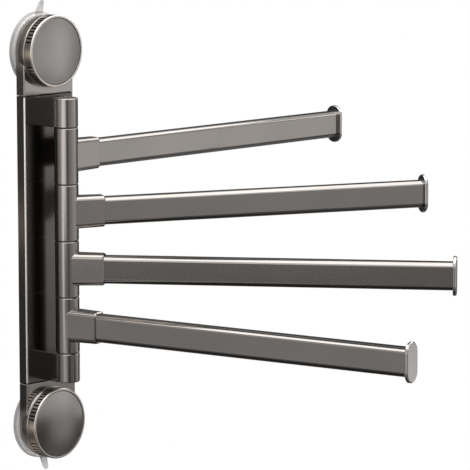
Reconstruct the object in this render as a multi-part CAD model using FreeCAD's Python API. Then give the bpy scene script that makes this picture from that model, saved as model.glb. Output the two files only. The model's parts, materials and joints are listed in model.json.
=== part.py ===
import FreeCAD, Part
import math
import os

# Swing arm towel rack that holds on a tiled wall with two twist-lock suction cups.
# A flat rail carries two ears, and four arms swivel on the rod between the ears.
#
# Millimetres. The wall is the plane Y = 0 and the rack stands in front of it, towards -Y.
# X runs to the right along the wall and Z runs up. The origin is on the wall, behind the
# middle of the rail.

# ---- wall and rail -----------------------------------------------------------------------
WALL_GAP = 4.6            # wall to the back of the rail
RAIL_WIDTH = 62.0
RAIL_DEPTH = 10.3
RAIL_WALL = 1.8           # every wall of the hollow rail
RAIL_EDGE = 1.0           # round along the front edges
RAIL_BACK_EDGE = 0.5      # round along the back edges
WEB_SPACING = 23.0        # between the middles of the two webs inside the rail
SEAM_GAP = 0.6            # dark joint line between rail and end housing

# ---- swivel stack ------------------------------------------------------------------------
ARM_PITCH = 52.0          # from one arm to the next
AXIS_REACH = 21.9         # front of the rail to the swivel axis
BARREL_RADIUS = 11.0
BARREL_CHAMFER = 0.5
JOINT_SLOT = 0.8          # space between two barrels
WASHER_PLAY = 0.05        # over and under each friction washer
WASHER_INSET = 0.8        # washer edge inside the barrel's surface
EAR_HEIGHT = 26.5
EAR_MARGIN = 1.6          # rail beyond each ear
EAR_EDGE = 0.6            # chamfer round the outer end of an ear
ROD_RADIUS = 4.0
ROD_HEAD_RADIUS = 6.5
ROD_HEAD_HEIGHT = 6.0
ROD_END = 0.6             # thread that stands out of the nut
ROD_CHAMFER = 0.5
SOCKET_FLATS = 5.0        # hexagon socket in the rod's head
NUT_FLATS = 13.0
NUT_HEIGHT = 6.5
WELL_RADIUS = 8.0         # well in the outer end of each ear for head or nut
WELL_DEPTH = 10.0
PLUG_THICKNESS = 2.0      # cover that closes the well
PLUG_CHAMFER = 0.4
RUNNING_FIT = 0.06        # radial play of a bush on the rod
CLOSE_FIT = 0.05          # radial play between pieces that do not move

# ---- screws ------------------------------------------------------------------------------
DRIVER_SHARE = 1.25       # hexagon recess across flats, as a share of the screw's radius
EAR_SCREW_RADIUS = 2.0
EAR_SCREW_HEAD_RADIUS = 3.8
EAR_SCREW_HEAD_HEIGHT = 2.6
EAR_SCREW_BITE = 10.0     # thread inside the ear
EAR_SCREW_SPACING = 14.0
DRIVER_HOLE_RADIUS = 4.6
TONGUE_SCREW_RADIUS = 1.5
TONGUE_SCREW_HEAD_RADIUS = 3.0
TONGUE_SCREW_BITE = 4.5
TUBE_SCREW_RADIUS = 2.0
TUBE_SCREW_PLACE = 26.0   # from the swivel axis along the arm
TUBE_SCREW_SINK = 0.4     # end of the screw below the socket's surface
TUBE_SCREW_TIP = 0.6      # tip inside the tube

# ---- arms --------------------------------------------------------------------------------
ARM_YAWS = (3.1, 27.5, 54.5, 78.4)    # degrees out from the wall, top arm first
ARM_LENGTH = 356.0        # swivel axis to the outer face of the end cap
BUSH_WALL = 2.4
SOCKET_WALL = 1.7         # round the tube, at the socket's mouth
SOCKET_FLARE_WIDE = 2.8   # how much wider the socket is at its root
SOCKET_FLARE_HIGH = 0.8   # how much higher
SOCKET_CORNER = 4.4       # round along its four long edges
SOCKET_REACH = 35.0       # swivel axis to the socket's mouth
SOCKET_BEVEL = 1.1
SOCKET_FLOOR = 3.2        # metal between barrel surface and tube end
TUBE_HEIGHT = 25.6
TUBE_WIDTH = 12.8
TUBE_CORNER = 3.1
TUBE_WALL = 1.3
TUBE_FIT = 0.1
CAP_OVER_TOP = 5.4        # flange beyond the tube, above and below
CAP_OVER_SIDE = 3.3       # flange beyond the tube, left and right
CAP_THICKNESS = 3.3
CAP_EDGE = 0.9
CAP_BACK_EDGE = 0.5
CAP_PLUG_LENGTH = 14.0
CAP_PLUG_WALL = 1.6
CAP_PLUG_FIT = 0.15

# ---- end housing, knob and suction cup ---------------------------------------------------
KNOB_RADIUS = 32.9
KNOB_DEPTH = 9.0
KNOB_GAP = 0.3            # dark line between housing and knob
KNOB_WALL = 3.0
KNOB_ROUND = 1.0          # round along the front edge
KNOB_BACK_BEVEL = 0.3
KNOB_RIM = 1.1            # bright flat ring round the face
KNOB_WEB = 1.6
KNOB_HUB_WALL = 2.7       # plastic outside the insert's corners
KNOB_RIB = 1.6
KNOB_RIB_COUNT = 6
KNOB_RIB_SINK = 1.5       # back of the knob to the ribs
FACE_SINK = 2.0           # front of the knob to the seat of the face
FACE_GROOVE = 0.6         # ring of shadow round the face
FACE_EDGE = 1.5           # thickness of the face at its edge
FACE_CROWN = 2.4          # how far its middle bulges
FLUTE_GROUPS = 4
FLUTES_IN_GROUP = 9
FLUTE_PITCH = 6.1         # degrees
FLUTE_WIDTH = 1.6
FLUTE_DEPTH = 1.0
FLUTE_BACK = 0.9          # plain ring behind the flutes
FLUTE_FRONT = 1.1         # from the knob's front to their open ends
UPPER_KNOB_CLOCK = 3.0    # degrees that each knob stands turned
LOWER_KNOB_CLOCK = 7.0    # anticlockwise as seen from the front
INSERT_FLATS = 12.0
INSERT_LENGTH = 5.3
INSERT_SINK = 0.2         # below the seat of the face
DISH_PROUD = 1.7          # dish front before the rail's front
DISH_MARGIN = 7.1         # rail end to the edge of the dish
DISH_EDGE = 0.6
DISH_TAPER = 1.8          # the dish's back is this much smaller in radius than its front
HOUSING_WALL = 2.4
DISH_RING = 4.3           # thickness of the dish's ring wall at the front
GUIDE_WALL = 3.4          # round the stud's neck
GUIDE_LENGTH = 3.4
DISH_RIB = 1.6
DISH_RIB_COUNT = 6
DISH_RIB_HEIGHT = 3.0
TONGUE_LENGTH = 17.0
TONGUE_FIT = 0.15
THRUST_THICKNESS = 0.7
THRUST_INSET = 1.6        # edge of the washer inside the edge of the knob's hub
THRUST_SEAT = 0.5         # depth of the ring that holds the thrust washer
THRUST_PLAY = 0.25
STUD_RADIUS = 4.0
STUD_NECK_RADIUS = 5.0
STUD_FLATS = 8.0          # across the two flats that keep it from turning
STUD_FIT = 0.08
STUD_FOOT_RADIUS = 9.0
STUD_FOOT_THICKNESS = 2.0
STUD_FOOT_PLACE = 4.4     # wall to the foot
STUD_NECK_REACH = 15.2    # wall to the end of the neck
STUD_REACH = 21.2         # wall to the stud's tip
STUD_CHAMFER = 0.5
CUP_RADIUS = 35.0
CUP_LIP = 1.2             # thickness at the edge
CUP_CONTACT = 3.5         # width of the ring that lies on the wall
CUP_HOLLOW = 2.4          # wall to the hollow's deepest part
CUP_BOSS_RADIUS = 11.0
CUP_BOSS_REACH = 9.6      # wall to the front of the boss
CUP_BOSS_BEVEL = 1.0
CUP_SHOULDER = 6.6        # wall to where the skirt leaves the boss
CUP_FLARE = 1.5           # the boss is this much wider at the shoulder
CUP_SOFT_GAP = 0.3        # room round a soft piece
TAB_ROOT_WIDTH = 12.5
TAB_TIP_WIDTH = 6.0
TAB_LENGTH = 12.0
TAB_THICKNESS = 1.4
TAB_LIFT = 22.0           # degrees that the tab leans out from the wall
TAB_OVERLAP = 2.6         # length of the tab inside the lip

# ---- places that follow from the sizes ---------------------------------------------------
ORIGIN = FreeCAD.Vector(0, 0, 0)
X_AXIS = FreeCAD.Vector(1, 0, 0)
Y_AXIS = FreeCAD.Vector(0, 1, 0)
Z_AXIS = FreeCAD.Vector(0, 0, 1)

RAIL_BACK_Y = -WALL_GAP
RAIL_FRONT_Y = RAIL_BACK_Y - RAIL_DEPTH
RAIL_INSIDE_Y = RAIL_FRONT_Y + RAIL_WALL
AXIS_Y = RAIL_FRONT_Y - AXIS_REACH
ARM_COUNT = len(ARM_YAWS)
STACK_HALF = ARM_COUNT * ARM_PITCH / 2
EAR_FOOT_Z = STACK_HALF + JOINT_SLOT / 2
EAR_TOP_Z = EAR_FOOT_Z + EAR_HEIGHT
RAIL_HALF = EAR_TOP_Z + EAR_MARGIN
WELL_FLOOR_Z = EAR_TOP_Z - WELL_DEPTH
BARREL_HEIGHT = ARM_PITCH - JOINT_SLOT
BUSH_RADIUS = ROD_RADIUS + RUNNING_FIT + BUSH_WALL
SOCKET_WIDTH = TUBE_WIDTH + 2 * SOCKET_WALL
SOCKET_HEIGHT = TUBE_HEIGHT + 2 * SOCKET_WALL
SOCKET_ROOT_WIDTH = SOCKET_WIDTH + SOCKET_FLARE_WIDE
SOCKET_ROOT_HEIGHT = SOCKET_HEIGHT + SOCKET_FLARE_HIGH
CAP_HEIGHT = TUBE_HEIGHT + 2 * CAP_OVER_TOP
CAP_WIDTH = TUBE_WIDTH + 2 * CAP_OVER_SIDE

DISH_FRONT_Y = RAIL_FRONT_Y - DISH_PROUD
DISH_INSIDE_Y = DISH_FRONT_Y + HOUSING_WALL
CUP_WELL_RADIUS = KNOB_RADIUS - DISH_RING
KNOB_REACH = KNOB_RADIUS + DISH_MARGIN
KNOB_Z = RAIL_HALF + KNOB_REACH
KNOB_BACK_Y = DISH_FRONT_Y - KNOB_GAP
KNOB_FRONT_Y = KNOB_BACK_Y - KNOB_DEPTH
KNOB_HUB_RADIUS = INSERT_FLATS / math.sqrt(3) + KNOB_HUB_WALL
GUIDE_RADIUS = STUD_NECK_RADIUS + GUIDE_WALL
THRUST_RADIUS = KNOB_HUB_RADIUS - THRUST_INSET
FACE_SEAT_Y = KNOB_FRONT_Y + FACE_SINK
FACE_SEAT_RADIUS = KNOB_RADIUS - KNOB_ROUND - KNOB_RIM
INSERT_FRONT_Y = FACE_SEAT_Y + INSERT_SINK
INSERT_BACK_Y = INSERT_FRONT_Y + INSERT_LENGTH
TUBE_START = BARREL_RADIUS + SOCKET_FLOOR


# ---- shapes that repeat ------------------------------------------------------------------
def block(x0, x1, y0, y1, z0, z1):
    """A box between two corners."""
    return Part.makeBox(x1 - x0, y1 - y0, z1 - z0, FreeCAD.Vector(x0, y0, z0))


def post(radius, z0, z1, x=0.0, y=0.0):
    """A cylinder along Z."""
    return Part.makeCylinder(radius, z1 - z0, FreeCAD.Vector(x, y, z0), Z_AXIS)


def spindle(radius, y_front, y_back, x=0.0, z=0.0):
    """A cylinder along Y, between a front plane and a back plane."""
    return Part.makeCylinder(radius, y_back - y_front, FreeCAD.Vector(x, y_front, z), Y_AXIS)


def ring_post(outer, inner, z0, z1, x=0.0, y=0.0):
    """A tube along Z."""
    return post(outer, z0, z1, x, y).cut(post(inner, z0, z1, x, y))


def hexagon(flats, start, end, along, centre):
    """A hexagonal bar along Y or Z, between two places on that axis."""
    radius = flats / math.sqrt(3)
    corners = []
    for step in range(7):
        angle = math.radians(60 * step)
        across = radius * math.cos(angle)
        up = radius * math.sin(angle)
        if along == Y_AXIS:
            corners.append(FreeCAD.Vector(centre.x + across, start, centre.z + up))
        else:
            corners.append(FreeCAD.Vector(centre.x + across, centre.y + up, start))
    face = Part.Face(Part.makePolygon(corners))
    return face.extrude(along * (end - start))


def turned_about_y(profile):
    """Turn a closed outline of (radius, y) corners about the Y axis."""
    corners = [FreeCAD.Vector(radius, y, 0) for radius, y in profile]
    outline = Part.makePolygon(corners + corners[:1])
    return Part.Face(outline).revolve(ORIGIN, Y_AXIS, 360)


def rounded_outline(x, width, height, corner):
    """A rounded rectangle in the plane X = x: width along Y and height along Z."""
    half_w = width / 2
    half_h = height / 2
    corner = min(corner, half_w, half_h)
    flat_w = half_w - corner
    flat_h = half_h - corner
    knee = corner * math.sqrt(0.5)
    edges = []
    quarters = ((1, 1), (-1, 1), (-1, -1), (1, -1))
    for turn, (sy, sz) in enumerate(quarters):
        side = FreeCAD.Vector(x, sy * half_w, sz * flat_h)
        top = FreeCAD.Vector(x, sy * flat_w, sz * half_h)
        middle = FreeCAD.Vector(x, sy * (flat_w + knee), sz * (flat_h + knee))
        start, end = (side, top) if turn % 2 == 0 else (top, side)
        if edges and not edges[-1].Vertexes[-1].Point.isEqual(start, 1e-7):
            edges.append(Part.LineSegment(edges[-1].Vertexes[-1].Point, start).toShape())
        edges.append(Part.Arc(start, middle, end).toShape())
    last = edges[-1].Vertexes[-1].Point
    first = edges[0].Vertexes[0].Point
    if not last.isEqual(first, 1e-7):
        edges.append(Part.LineSegment(last, first).toShape())
    return Part.Wire(edges)


def tapered_block(x0, width0, height0, x1, width1, height1):
    """A block along X whose width (Y) and height (Z) change evenly from x0 to x1."""
    solid = Part.makeWedge(-width0 / 2, x0, -height0 / 2, -height1 / 2, -width1 / 2,
                           width0 / 2, x1, height0 / 2, height1 / 2, width1 / 2)
    solid.rotate(ORIGIN, Z_AXIS, -90)
    return solid


def rounded_bar(x0, x1, width, height, corner):
    """A bar of rounded rectangular section along X."""
    face = Part.Face(rounded_outline(x0, width, height, corner))
    return face.extrude(X_AXIS * (x1 - x0))


def edges_by_middle(shape, test):
    """The edges whose middle point passes the test."""
    found = []
    for edge in shape.Edges:
        middle = edge.valueAt((edge.FirstParameter + edge.LastParameter) / 2)
        if test(middle):
            found.append(edge)
    return found


def ball_through(rim_radius, height, crown_y):
    """The large ball whose crown stands at crown_y on the Y axis, and whose surface lies
    one height behind the crown where it is rim_radius from the axis."""
    radius = (rim_radius ** 2 + height ** 2) / (2 * height)
    return Part.makeSphere(radius, FreeCAD.Vector(0, crown_y + radius, 0))


def near(a, b):
    """Two places are the same."""
    return abs(a - b) < 1e-6


def at_end(shape, side):
    """Move a piece that was built round a knob's centre, with the rail below it, to the
    upper end (+1) or the lower end (-1) of the rack."""
    placed = shape.copy()
    if side < 0:
        placed.rotate(ORIGIN, Y_AXIS, 180)
    placed.translate(FreeCAD.Vector(0, 0, side * KNOB_Z))
    return placed


def on_arm(shape, number):
    """Move a piece that was built along +X round the swivel axis to arm 1 (top) to 4."""
    placed = shape.copy()
    placed.rotate(ORIGIN, Z_AXIS, -ARM_YAWS[number - 1])
    height = STACK_HALF - (number - 0.5) * ARM_PITCH
    placed.translate(FreeCAD.Vector(0, AXIS_Y, height))
    return placed


# ---- rail and ears -----------------------------------------------------------------------
def rail_block(z0, z1):
    """The outer form that the rail and the end housings share."""
    half = RAIL_WIDTH / 2
    solid = block(-half, half, RAIL_FRONT_Y, RAIL_BACK_Y, z0, z1)
    front = edges_by_middle(solid, lambda p: near(abs(p.x), half) and near(p.y, RAIL_FRONT_Y))
    solid = solid.makeFillet(RAIL_EDGE, front)
    back = edges_by_middle(solid, lambda p: near(abs(p.x), half) and near(p.y, RAIL_BACK_Y))
    return solid.makeFillet(RAIL_BACK_EDGE, back)


def chamber(hand, z0, z1, play=0.0):
    """One outer chamber of the rail, or the tongue that fills it less some play."""
    inner = WEB_SPACING / 2 + RAIL_WALL / 2 + play
    outer = RAIL_WIDTH / 2 - RAIL_WALL - play
    near_x, far_x = sorted((hand * inner, hand * outer))
    return block(near_x, far_x, RAIL_INSIDE_Y + play, RAIL_BACK_Y - RAIL_WALL - play, z0, z1)


def ear_screw_places():
    """Heights of the four screws that hold the ears."""
    middle = (EAR_FOOT_Z + EAR_TOP_Z) / 2
    for side in (1, -1):
        for step in (-0.5, 0.5):
            yield side * (middle + step * EAR_SCREW_SPACING)


def tongue_screw_places():
    """Places (x, z) of the four screws that hold the tongues in the outer chambers."""
    across = (WEB_SPACING / 2 + RAIL_WALL / 2 + RAIL_WIDTH / 2 - RAIL_WALL) / 2
    up = RAIL_HALF - TONGUE_LENGTH / 2
    for side in (1, -1):
        for hand in (1, -1):
            yield hand * across, side * up


def tongue_screw(x, z, play=0.0):
    """A countersunk screw put in from behind, or with some play the hole for it."""
    head = TONGUE_SCREW_HEAD_RADIUS + play
    shank = TONGUE_SCREW_RADIUS + play
    neck_y = RAIL_BACK_Y - (head - shank)
    tip_y = RAIL_BACK_Y - RAIL_WALL - TONGUE_SCREW_BITE - play
    form = turned_about_y([
        (0, RAIL_BACK_Y),
        (head, RAIL_BACK_Y),
        (shank, neck_y),
        (shank, tip_y),
        (0, tip_y),
    ])
    form.translate(FreeCAD.Vector(x, 0, z))
    return form


def make_rail():
    """Hollow extruded rail: two webs, holes for the ear screws and for their driver."""
    solid = rail_block(-RAIL_HALF, RAIL_HALF)
    inside = WEB_SPACING / 2 - RAIL_WALL / 2
    back_inside = RAIL_BACK_Y - RAIL_WALL
    cuts = [block(-inside, inside, RAIL_INSIDE_Y, back_inside, -RAIL_HALF, RAIL_HALF)]
    for hand in (1, -1):
        cuts.append(chamber(hand, -RAIL_HALF, RAIL_HALF))
    for z in ear_screw_places():
        cuts.append(spindle(EAR_SCREW_RADIUS + CLOSE_FIT, RAIL_FRONT_Y, RAIL_INSIDE_Y, 0, z))
        cuts.append(spindle(DRIVER_HOLE_RADIUS, back_inside, RAIL_BACK_Y, 0, z))
    for x, z in tongue_screw_places():
        cuts.append(tongue_screw(x, z, CLOSE_FIT))
    return solid.cut(cuts)


def make_ear_screws():
    """Four pan head screws, from inside the rail into the ears."""
    head_y = RAIL_INSIDE_Y + EAR_SCREW_HEAD_HEIGHT
    recess_y = head_y - EAR_SCREW_HEAD_HEIGHT / 2
    tip_y = RAIL_FRONT_Y - EAR_SCREW_BITE
    rounding = EAR_SCREW_HEAD_HEIGHT / 2
    form = turned_about_y([
        (0, tip_y),
        (EAR_SCREW_RADIUS, tip_y),
        (EAR_SCREW_RADIUS, RAIL_INSIDE_Y),
        (EAR_SCREW_HEAD_RADIUS, RAIL_INSIDE_Y),
        (EAR_SCREW_HEAD_RADIUS, head_y - rounding),
        (EAR_SCREW_HEAD_RADIUS - rounding, head_y),
        (0, head_y),
    ])
    form = form.cut(hexagon(EAR_SCREW_RADIUS * DRIVER_SHARE, recess_y, head_y, Y_AXIS, ORIGIN))
    screws = []
    for z in ear_screw_places():
        screw = form.copy()
        screw.translate(FreeCAD.Vector(0, 0, z))
        screws.append(screw)
    return Part.makeCompound(screws)


def make_tongue_screws():
    """Four countersunk screws that hold the end housings in the rail."""
    recess_y = RAIL_BACK_Y - TONGUE_SCREW_RADIUS
    screws = []
    for x, z in tongue_screw_places():
        centre = FreeCAD.Vector(x, 0, z)
        recess = hexagon(TONGUE_SCREW_RADIUS * DRIVER_SHARE, recess_y, RAIL_BACK_Y, Y_AXIS, centre)
        screws.append(tongue_screw(x, z).cut(recess))
    return Part.makeCompound(screws)


def make_ear(side):
    """A cast ear: a web as wide as the barrels that ends in the barrel's own curve."""
    right_root = FreeCAD.Vector(BARREL_RADIUS, RAIL_FRONT_Y, EAR_FOOT_Z)
    right = FreeCAD.Vector(BARREL_RADIUS, AXIS_Y, EAR_FOOT_Z)
    nose = FreeCAD.Vector(0, AXIS_Y - BARREL_RADIUS, EAR_FOOT_Z)
    left = FreeCAD.Vector(-BARREL_RADIUS, AXIS_Y, EAR_FOOT_Z)
    left_root = FreeCAD.Vector(-BARREL_RADIUS, RAIL_FRONT_Y, EAR_FOOT_Z)
    outline = Part.Wire([
        Part.LineSegment(right_root, right).toShape(),
        Part.Arc(right, nose, left).toShape(),
        Part.LineSegment(left, left_root).toShape(),
        Part.LineSegment(left_root, right_root).toShape(),
    ])
    solid = Part.Face(outline).extrude(Z_AXIS * EAR_HEIGHT)
    for height, size in ((EAR_TOP_Z, EAR_EDGE), (EAR_FOOT_Z, BARREL_CHAMFER)):
        rim = edges_by_middle(solid, lambda p: near(p.z, height) and not near(p.y, RAIL_FRONT_Y))
        solid = solid.makeChamfer(size, rim)
    solid = solid.cut([
        post(ROD_RADIUS + CLOSE_FIT, EAR_FOOT_Z, EAR_TOP_Z, 0, AXIS_Y),
        post(WELL_RADIUS, WELL_FLOOR_Z, EAR_TOP_Z, 0, AXIS_Y),
    ])
    if side < 0:
        solid = solid.mirror(ORIGIN, Z_AXIS)
    tip_y = RAIL_FRONT_Y - EAR_SCREW_BITE - CLOSE_FIT
    holes = []
    for z in ear_screw_places():
        holes.append(spindle(EAR_SCREW_RADIUS + CLOSE_FIT, tip_y, RAIL_FRONT_Y, 0, z))
    return solid.cut(holes)


def make_ear_plug(side):
    """The round cover over the well in an ear."""
    radius = WELL_RADIUS - CLOSE_FIT
    disc = post(radius, EAR_TOP_Z - PLUG_THICKNESS, EAR_TOP_Z, 0, AXIS_Y)
    rim = edges_by_middle(disc, lambda p: near(p.z, EAR_TOP_Z))
    disc = disc.makeChamfer(PLUG_CHAMFER, rim)
    return disc if side > 0 else disc.mirror(ORIGIN, Z_AXIS)


def make_pivot_rod():
    """The rod that the arms turn on: a socket head below, thread for the nut above."""
    head_z = -WELL_FLOOR_Z - ROD_HEAD_HEIGHT
    tip_z = WELL_FLOOR_Z + NUT_HEIGHT + ROD_END
    head = post(ROD_HEAD_RADIUS, head_z, -WELL_FLOOR_Z, 0, AXIS_Y)
    shank = post(ROD_RADIUS, -WELL_FLOOR_Z, tip_z, 0, AXIS_Y)
    tip = edges_by_middle(shank, lambda p: near(p.z, tip_z))
    shank = shank.makeChamfer(ROD_CHAMFER, tip)
    centre = FreeCAD.Vector(0, AXIS_Y, 0)
    socket = hexagon(SOCKET_FLATS, head_z, head_z + ROD_HEAD_HEIGHT / 2, Z_AXIS, centre)
    return head.fuse(shank).cut(socket)


def make_pivot_nut():
    """The nut on the rod's upper end."""
    centre = FreeCAD.Vector(0, AXIS_Y, 0)
    top_z = WELL_FLOOR_Z + NUT_HEIGHT
    nut = hexagon(NUT_FLATS, WELL_FLOOR_Z, top_z, Z_AXIS, centre)
    return nut.cut(post(ROD_RADIUS + CLOSE_FIT, WELL_FLOOR_Z, top_z, 0, AXIS_Y))


def make_friction_washer(number):
    """The plastic washer over arm 1 to 4, or under arm 4 for the last number."""
    middle = STACK_HALF - (number - 1) * ARM_PITCH
    half = JOINT_SLOT / 2 - WASHER_PLAY
    outer = BARREL_RADIUS - WASHER_INSET
    return ring_post(outer, ROD_RADIUS + CLOSE_FIT, middle - half, middle + half, 0, AXIS_Y)


# ---- arms --------------------------------------------------------------------------------
def make_hub():
    """Swivel barrel with a tapered socket that takes the arm's tube."""
    half = BARREL_HEIGHT / 2
    barrel = post(BARREL_RADIUS, -half, half)
    rims = edges_by_middle(barrel, lambda p: near(abs(p.z), half))
    barrel = barrel.makeChamfer(BARREL_CHAMFER, rims)
    socket = tapered_block(BARREL_RADIUS / 2, SOCKET_ROOT_WIDTH, SOCKET_ROOT_HEIGHT,
                           SOCKET_REACH, SOCKET_WIDTH, SOCKET_HEIGHT)
    long_edges = edges_by_middle(socket, lambda p: not near(p.y, 0) and not near(p.z, 0))
    socket = socket.makeFillet(SOCKET_CORNER, long_edges)
    mouth_edges = edges_by_middle(socket, lambda p: near(p.x, SOCKET_REACH))
    solid = barrel.fuse(socket.makeChamfer(SOCKET_BEVEL, mouth_edges))
    pocket = rounded_bar(TUBE_START - TUBE_FIT, SOCKET_REACH, TUBE_WIDTH + 2 * TUBE_FIT,
                         TUBE_HEIGHT + 2 * TUBE_FIT, TUBE_CORNER + TUBE_FIT)
    screw_hole = post(TUBE_SCREW_RADIUS + CLOSE_FIT, -half, 0, TUBE_SCREW_PLACE)
    return solid.cut([pocket, screw_hole, post(BUSH_RADIUS + CLOSE_FIT, -half, half)])


def make_bush():
    """Plastic sleeve between the barrel and the rod."""
    half = BARREL_HEIGHT / 2
    return ring_post(BUSH_RADIUS, ROD_RADIUS + RUNNING_FIT, -half, half)


def make_tube():
    """Rounded rectangular arm tube."""
    end = ARM_LENGTH - CAP_THICKNESS
    outer = rounded_bar(TUBE_START, end, TUBE_WIDTH, TUBE_HEIGHT, TUBE_CORNER)
    bore = rounded_bar(TUBE_START, end, TUBE_WIDTH - 2 * TUBE_WALL, TUBE_HEIGHT - 2 * TUBE_WALL,
                       TUBE_CORNER - TUBE_WALL)
    screw_hole = post(TUBE_SCREW_RADIUS + CLOSE_FIT, -TUBE_HEIGHT, 0, TUBE_SCREW_PLACE)
    return outer.cut([bore, screw_hole])


def socket_height_at(x):
    """Height of the tapered socket at a distance from the swivel axis."""
    root_x = BARREL_RADIUS / 2
    share = (x - root_x) / (SOCKET_REACH - root_x)
    return SOCKET_ROOT_HEIGHT + share * (SOCKET_HEIGHT - SOCKET_ROOT_HEIGHT)


def make_tube_screw():
    """Grub screw from below that keeps the tube in its socket."""
    bottom = -socket_height_at(TUBE_SCREW_PLACE) / 2 + TUBE_SCREW_SINK
    tip = -TUBE_HEIGHT / 2 + TUBE_WALL + TUBE_SCREW_TIP
    screw = post(TUBE_SCREW_RADIUS, bottom, tip, TUBE_SCREW_PLACE)
    centre = FreeCAD.Vector(TUBE_SCREW_PLACE, 0, 0)
    socket = hexagon(TUBE_SCREW_RADIUS, bottom, bottom + (tip - bottom) / 2, Z_AXIS, centre)
    return screw.cut(socket)


def make_end_cap():
    """Oval flange, taller and wider than the tube, on a hollow plug inside the tube."""
    back = ARM_LENGTH - CAP_THICKNESS
    flange = rounded_bar(back, ARM_LENGTH, CAP_WIDTH, CAP_HEIGHT, CAP_WIDTH / 2)
    for place, size in ((ARM_LENGTH, CAP_EDGE), (back, CAP_BACK_EDGE)):
        rim = edges_by_middle(flange, lambda p: near(p.x, place))
        flange = flange.makeChamfer(size, rim)
    less = 2 * (TUBE_WALL + CAP_PLUG_FIT)
    corner = TUBE_CORNER - TUBE_WALL - CAP_PLUG_FIT
    plug = rounded_bar(back - CAP_PLUG_LENGTH, back, TUBE_WIDTH - less, TUBE_HEIGHT - less, corner)
    less += 2 * CAP_PLUG_WALL
    hollow = block(back - CAP_PLUG_LENGTH, back, -(TUBE_WIDTH - less) / 2, (TUBE_WIDTH - less) / 2,
                   -(TUBE_HEIGHT - less) / 2, (TUBE_HEIGHT - less) / 2)
    return flange.fuse(plug.cut(hollow))


# ---- end housing, knob and suction cup ---------------------------------------------------
def make_dish():
    """The full dish, before its well is cut. Its side bulges: it stands upright at the
    front and draws in towards the wall."""
    depth = RAIL_BACK_Y - DISH_FRONT_Y
    bulge = (depth ** 2 + DISH_TAPER ** 2) / (2 * DISH_TAPER)
    middle = depth / 2
    front = FreeCAD.Vector(KNOB_RADIUS, DISH_FRONT_Y, 0)
    belly_x = KNOB_RADIUS - bulge + math.sqrt(bulge ** 2 - middle ** 2)
    belly = FreeCAD.Vector(belly_x, DISH_FRONT_Y + middle, 0)
    back = FreeCAD.Vector(KNOB_RADIUS - DISH_TAPER, RAIL_BACK_Y, 0)
    back_middle = FreeCAD.Vector(0, RAIL_BACK_Y, 0)
    front_middle = FreeCAD.Vector(0, DISH_FRONT_Y, 0)
    outline = Part.Wire([
        Part.LineSegment(front_middle, front).toShape(),
        Part.Arc(front, belly, back).toShape(),
        Part.LineSegment(back, back_middle).toShape(),
        Part.LineSegment(back_middle, front_middle).toShape(),
    ])
    dish = Part.Face(outline).revolve(ORIGIN, Y_AXIS, 360)
    rim = edges_by_middle(dish, lambda p: near(p.y, DISH_FRONT_Y) and not near(p.x, 0))
    return dish.makeChamfer(DISH_EDGE, rim)


def make_housing():
    """Moulded end of the rack: it continues the rail and widens into the dish that covers
    the suction cup, with tongues that slide into the rail."""
    seam_z = -KNOB_REACH + SEAM_GAP
    solid = rail_block(seam_z, 0).fuse(make_dish())

    half = RAIL_WIDTH / 2 - HOUSING_WALL
    pocket = block(-half, half, RAIL_FRONT_Y + HOUSING_WALL, RAIL_BACK_Y, seam_z + HOUSING_WALL, 0)
    pocket = pocket.cut(spindle(CUP_WELL_RADIUS + HOUSING_WALL, DISH_FRONT_Y, RAIL_BACK_Y))
    solid = solid.cut([pocket, spindle(CUP_WELL_RADIUS, DISH_INSIDE_Y, RAIL_BACK_Y)])

    ribs = []
    rib_back = DISH_INSIDE_Y + DISH_RIB_HEIGHT
    for number in range(DISH_RIB_COUNT):
        rib = block(GUIDE_RADIUS - DISH_RIB, CUP_WELL_RADIUS + DISH_RIB, DISH_INSIDE_Y, rib_back,
                    -DISH_RIB / 2, DISH_RIB / 2)
        rib.rotate(ORIGIN, Y_AXIS, 360 / DISH_RIB_COUNT * (number + 0.5))
        ribs.append(rib)
    guide_back = DISH_FRONT_Y + GUIDE_LENGTH
    ring = spindle(GUIDE_RADIUS + DISH_RIB, guide_back, rib_back)
    ribs = [rib.cut(ring) for rib in ribs]
    solid = solid.fuse(ribs + [spindle(GUIDE_RADIUS, DISH_FRONT_Y, guide_back)])

    for hand in (1, -1):
        solid = solid.fuse(chamber(hand, seam_z - SEAM_GAP - TONGUE_LENGTH, seam_z, TONGUE_FIT))
    thrust_seat = spindle(THRUST_RADIUS + CLOSE_FIT, DISH_FRONT_Y, DISH_FRONT_Y + THRUST_SEAT)
    solid = solid.cut([stud_neck(DISH_FRONT_Y, guide_back, STUD_FIT), thrust_seat])
    screw_holes = []
    for x, z in tongue_screw_places():
        if z > 0:
            screw_holes.append(tongue_screw(x, z - KNOB_Z, CLOSE_FIT))
    return solid.cut(screw_holes).removeSplitter()


def stud_neck(y_front, y_back, play=0.0):
    """The stud's neck with two flats, or with some play the guide for it."""
    half = STUD_FLATS / 2 + play
    wide = 2 * STUD_NECK_RADIUS
    neck = spindle(STUD_NECK_RADIUS + play, y_front, y_back)
    return neck.common(block(-half, half, y_front, y_back, -wide, wide))


def make_stud():
    """Stud moulded into the cup: a foot, a neck that slides but cannot turn, and thread."""
    foot_front = -STUD_FOOT_PLACE - STUD_FOOT_THICKNESS
    foot = spindle(STUD_FOOT_RADIUS, foot_front, -STUD_FOOT_PLACE)
    neck = stud_neck(-STUD_NECK_REACH, foot_front)
    thread = spindle(STUD_RADIUS, -STUD_REACH, -STUD_NECK_REACH)
    tip = edges_by_middle(thread, lambda p: near(p.y, -STUD_REACH))
    thread = thread.makeChamfer(STUD_CHAMFER, tip)
    return foot.fuse([neck, thread])


def make_thrust_washer():
    """Slippery washer that the knob's hub turns on."""
    seat_y = DISH_FRONT_Y + THRUST_SEAT
    front_y = seat_y - THRUST_THICKNESS
    washer = spindle(THRUST_RADIUS, front_y, seat_y)
    return washer.cut(spindle(STUD_NECK_RADIUS + STUD_FIT + THRUST_PLAY, front_y, seat_y))


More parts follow.
